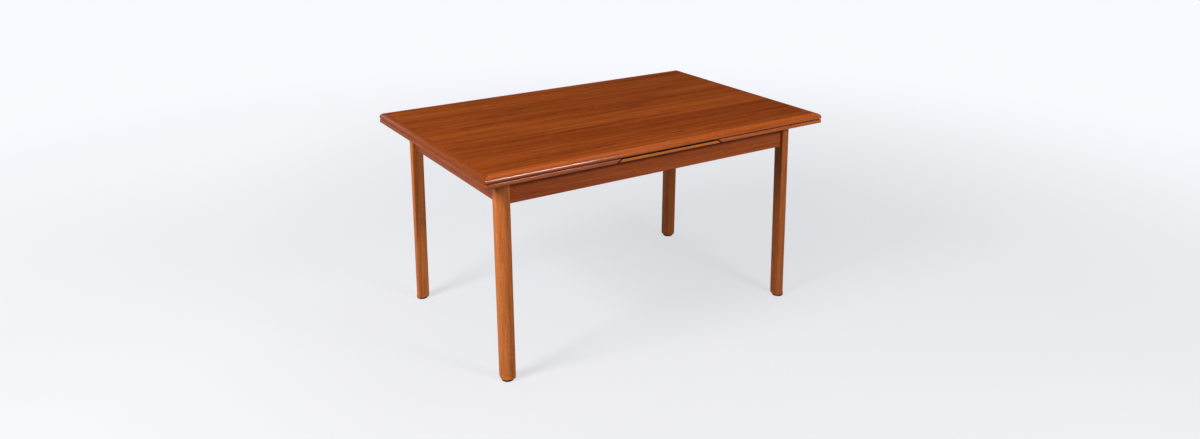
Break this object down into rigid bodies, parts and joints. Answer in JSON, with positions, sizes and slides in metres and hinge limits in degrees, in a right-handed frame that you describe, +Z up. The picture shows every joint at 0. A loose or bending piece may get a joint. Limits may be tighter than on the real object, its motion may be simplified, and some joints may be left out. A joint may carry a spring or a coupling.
{
  "type": "draw leaf table",
  "caption": "Rectangular teak dining table on slightly splayed legs, with end leaves that draw out from under a loose top on tapered runners.",
  "frame": {"origin": "on the floor under the middle of the top", "axes": "+X along the table's length, +Y from the front long side to the back one, +Z up"},
  "size_m": [1.34, 0.872, 0.73],
  "materials": {
    "teak_veneer": "oiled veneer",
    "teak_lipping": "oiled solid wood",
    "teak_solid": "oiled solid wood",
    "beech": "planed hardwood",
    "steel": "zinc plated",
    "felt": "pressed wool felt",
    "glide": "matt"
  },
  "bodies": {
    "frame": {"apron_back": "teak_solid", "apron_front": "teak_solid", "apron_left": "teak_solid", "apron_right": "teak_solid", "bridge_cleat_back": "beech", "bridge_cleat_front": "beech", "bridge_felts": "felt", "bridge_lipping_back": "teak_lipping", "bridge_lipping_front": "teak_lipping", "bridge_panel": "teak_veneer", "bridge_screws": "steel", "corner_block_back_left": "beech", "corner_block_back_right": "beech", "corner_block_front_left": "beech", "corner_block_front_right": "beech", "corner_block_screws": "steel", "glide_back_left": "glide", "glide_back_right": "glide", "glide_front_left": "glide", "glide_front_right": "glide", "leg_back_left": "teak_solid", "leg_back_right": "teak_solid", "leg_bolt_nuts": "steel", "leg_bolt_washers": "steel", "leg_bolts": "steel", "leg_front_left": "teak_solid", "leg_front_right": "teak_solid", "runner_rail": "beech"},
    "felt_rings": {"felt_rings": "felt"},
    "top": {"guide_pegs": "beech", "top_lipping_back": "teak_lipping", "top_lipping_front": "teak_lipping", "top_lipping_left": "teak_lipping", "top_lipping_right": "teak_lipping", "top_panel": "teak_veneer"},
    "left_leaf": {"left_leaf_lipping_back": "teak_lipping", "left_leaf_lipping_end": "teak_lipping", "left_leaf_lipping_front": "teak_lipping", "left_leaf_lipping_inner": "teak_lipping", "left_leaf_panel": "teak_veneer", "left_runner_back": "beech", "left_runner_front": "beech", "left_runner_screws": "steel", "left_runner_stops": "beech"},
    "right_leaf": {"right_leaf_lipping_back": "teak_lipping", "right_leaf_lipping_end": "teak_lipping", "right_leaf_lipping_front": "teak_lipping", "right_leaf_lipping_inner": "teak_lipping", "right_leaf_panel": "teak_veneer", "right_runner_back": "beech", "right_runner_front": "beech", "right_runner_screws": "steel", "right_runner_stops": "beech"}
  },
  "joints": [
    {"name": "left_leaf_draw", "type": "slide", "parent": "frame", "child": "left_leaf", "axis": [-0.9989, 0, 0.0461], "range_m": [0, 0.4775]},
    {"name": "right_leaf_draw", "type": "slide", "parent": "frame", "child": "right_leaf", "axis": [0.9989, 0, 0.0461], "range_m": [0, 0.4775]},
    {"name": "top_tilt_left", "type": "hinge", "parent": "frame", "child": "felt_rings", "pos_m": [0.67, 0, 0.711], "axis": [0, 1, 0], "range_deg": [0, 0.92]},
    {"name": "top_tilt_right", "type": "hinge", "parent": "felt_rings", "child": "top", "pos_m": [-0.67, 0, 0.711], "axis": [0, -1, 0], "range_deg": [0, 0.92]}
  ],
  "couplings": [
    {"joint": "top_tilt_left", "follows": "left_leaf_draw", "rad_per_m": 0.033},
    {"joint": "top_tilt_right", "follows": "right_leaf_draw", "rad_per_m": 0.033}
  ]
}
